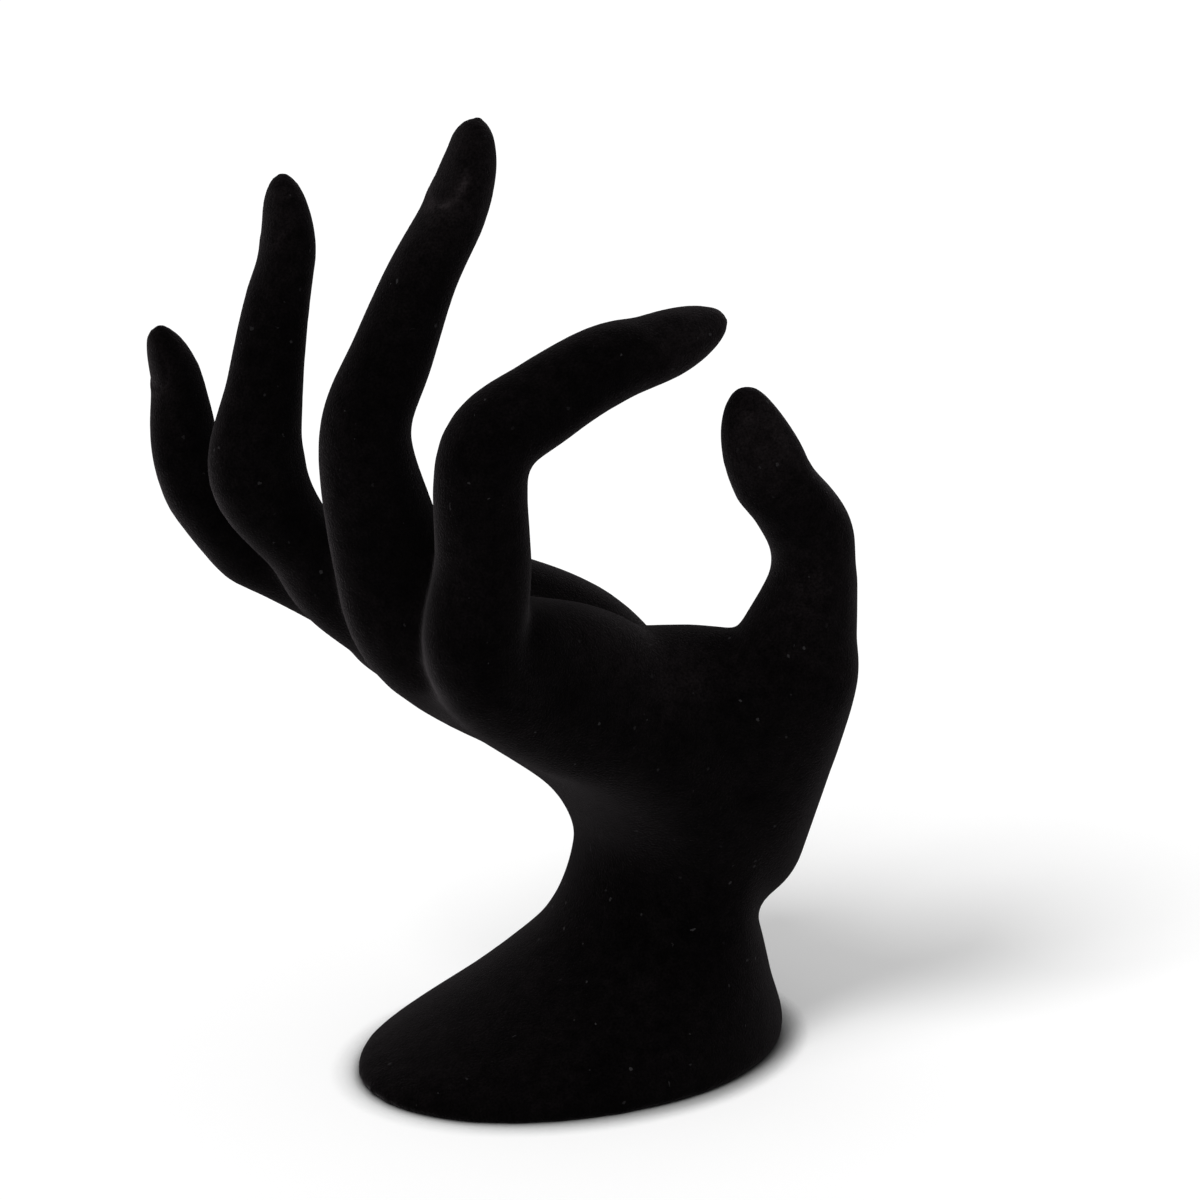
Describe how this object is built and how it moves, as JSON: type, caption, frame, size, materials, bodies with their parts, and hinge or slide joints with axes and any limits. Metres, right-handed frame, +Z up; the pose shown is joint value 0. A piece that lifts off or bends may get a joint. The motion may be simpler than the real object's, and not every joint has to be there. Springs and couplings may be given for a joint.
{
  "type": "hand jewelry stand",
  "caption": "Flocked hand form on an oval foot, palm up with curved fingers and thumb, for holding rings, bracelets and necklaces.",
  "frame": {"origin": "middle of the oval foot's flat sole", "axes": "+X towards the palm and thumb, +Y from the index finger to the little finger, +Z up"},
  "size_m": [0.1031, 0.0638, 0.167],
  "materials": {
    "black_flock": "short matt black flock"
  },
  "bodies": {
    "root": {"flocked_hand": "black_flock"}
  },
  "joints": []
}
